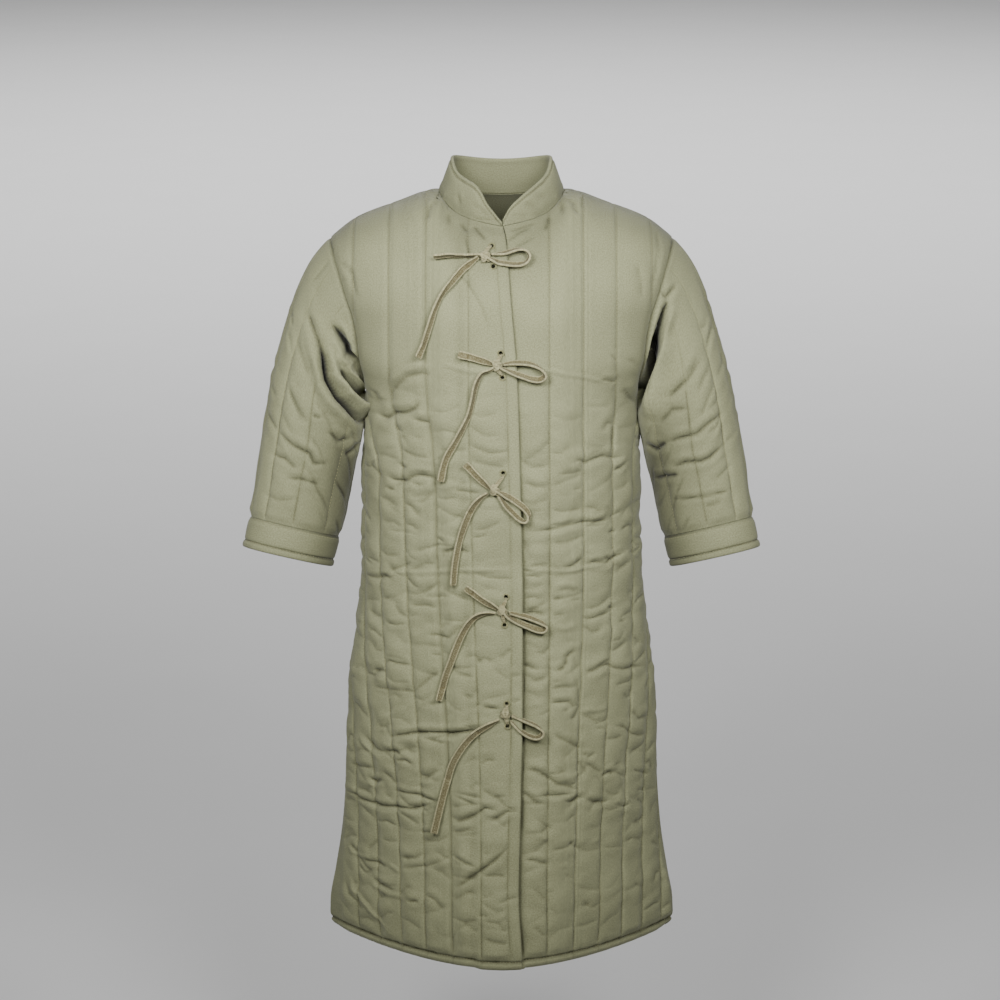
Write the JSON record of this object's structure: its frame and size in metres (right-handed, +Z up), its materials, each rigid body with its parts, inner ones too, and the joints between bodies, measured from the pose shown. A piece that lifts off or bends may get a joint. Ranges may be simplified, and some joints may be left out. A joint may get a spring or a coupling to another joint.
{
  "type": "gambeson",
  "caption": "Knee-length quilted gambeson with a stand collar, elbow-length sleeves and a lapped front closed by tape ties, hollow as worn.",
  "frame": {"origin": "midway between the two points where the shoulder seams meet the neckline, where the wearer's shoulders carry it", "axes": "+Z up, the wearer faces -Y, +X is the wearer's left"},
  "size_m": [0.7018, 0.3468, 1.0968],
  "materials": {
    "quilted_cotton": "matte woven cotton, quilted",
    "cotton_tape": "matte cotton tape"
  },
  "bodies": {
    "root": {"front_right": "quilted_cotton", "front_left": "quilted_cotton", "back": "quilted_cotton", "collar": "quilted_cotton", "sleeve_right": "quilted_cotton", "sleeve_left": "quilted_cotton", "cuff_right": "quilted_cotton", "cuff_left": "quilted_cotton", "tie_1_knot": "cotton_tape", "tie_1_loop": "cotton_tape", "tie_1_long_tail": "cotton_tape", "tie_1_short_tail": "cotton_tape", "tie_2_knot": "cotton_tape", "tie_2_loop": "cotton_tape", "tie_2_long_tail": "cotton_tape", "tie_2_short_tail": "cotton_tape", "tie_3_knot": "cotton_tape", "tie_3_loop": "cotton_tape", "tie_3_long_tail": "cotton_tape", "tie_3_short_tail": "cotton_tape", "tie_4_knot": "cotton_tape", "tie_4_loop": "cotton_tape", "tie_4_long_tail": "cotton_tape", "tie_4_short_tail": "cotton_tape", "tie_5_knot": "cotton_tape", "tie_5_loop": "cotton_tape", "tie_5_long_tail": "cotton_tape"}
  },
  "joints": []
}
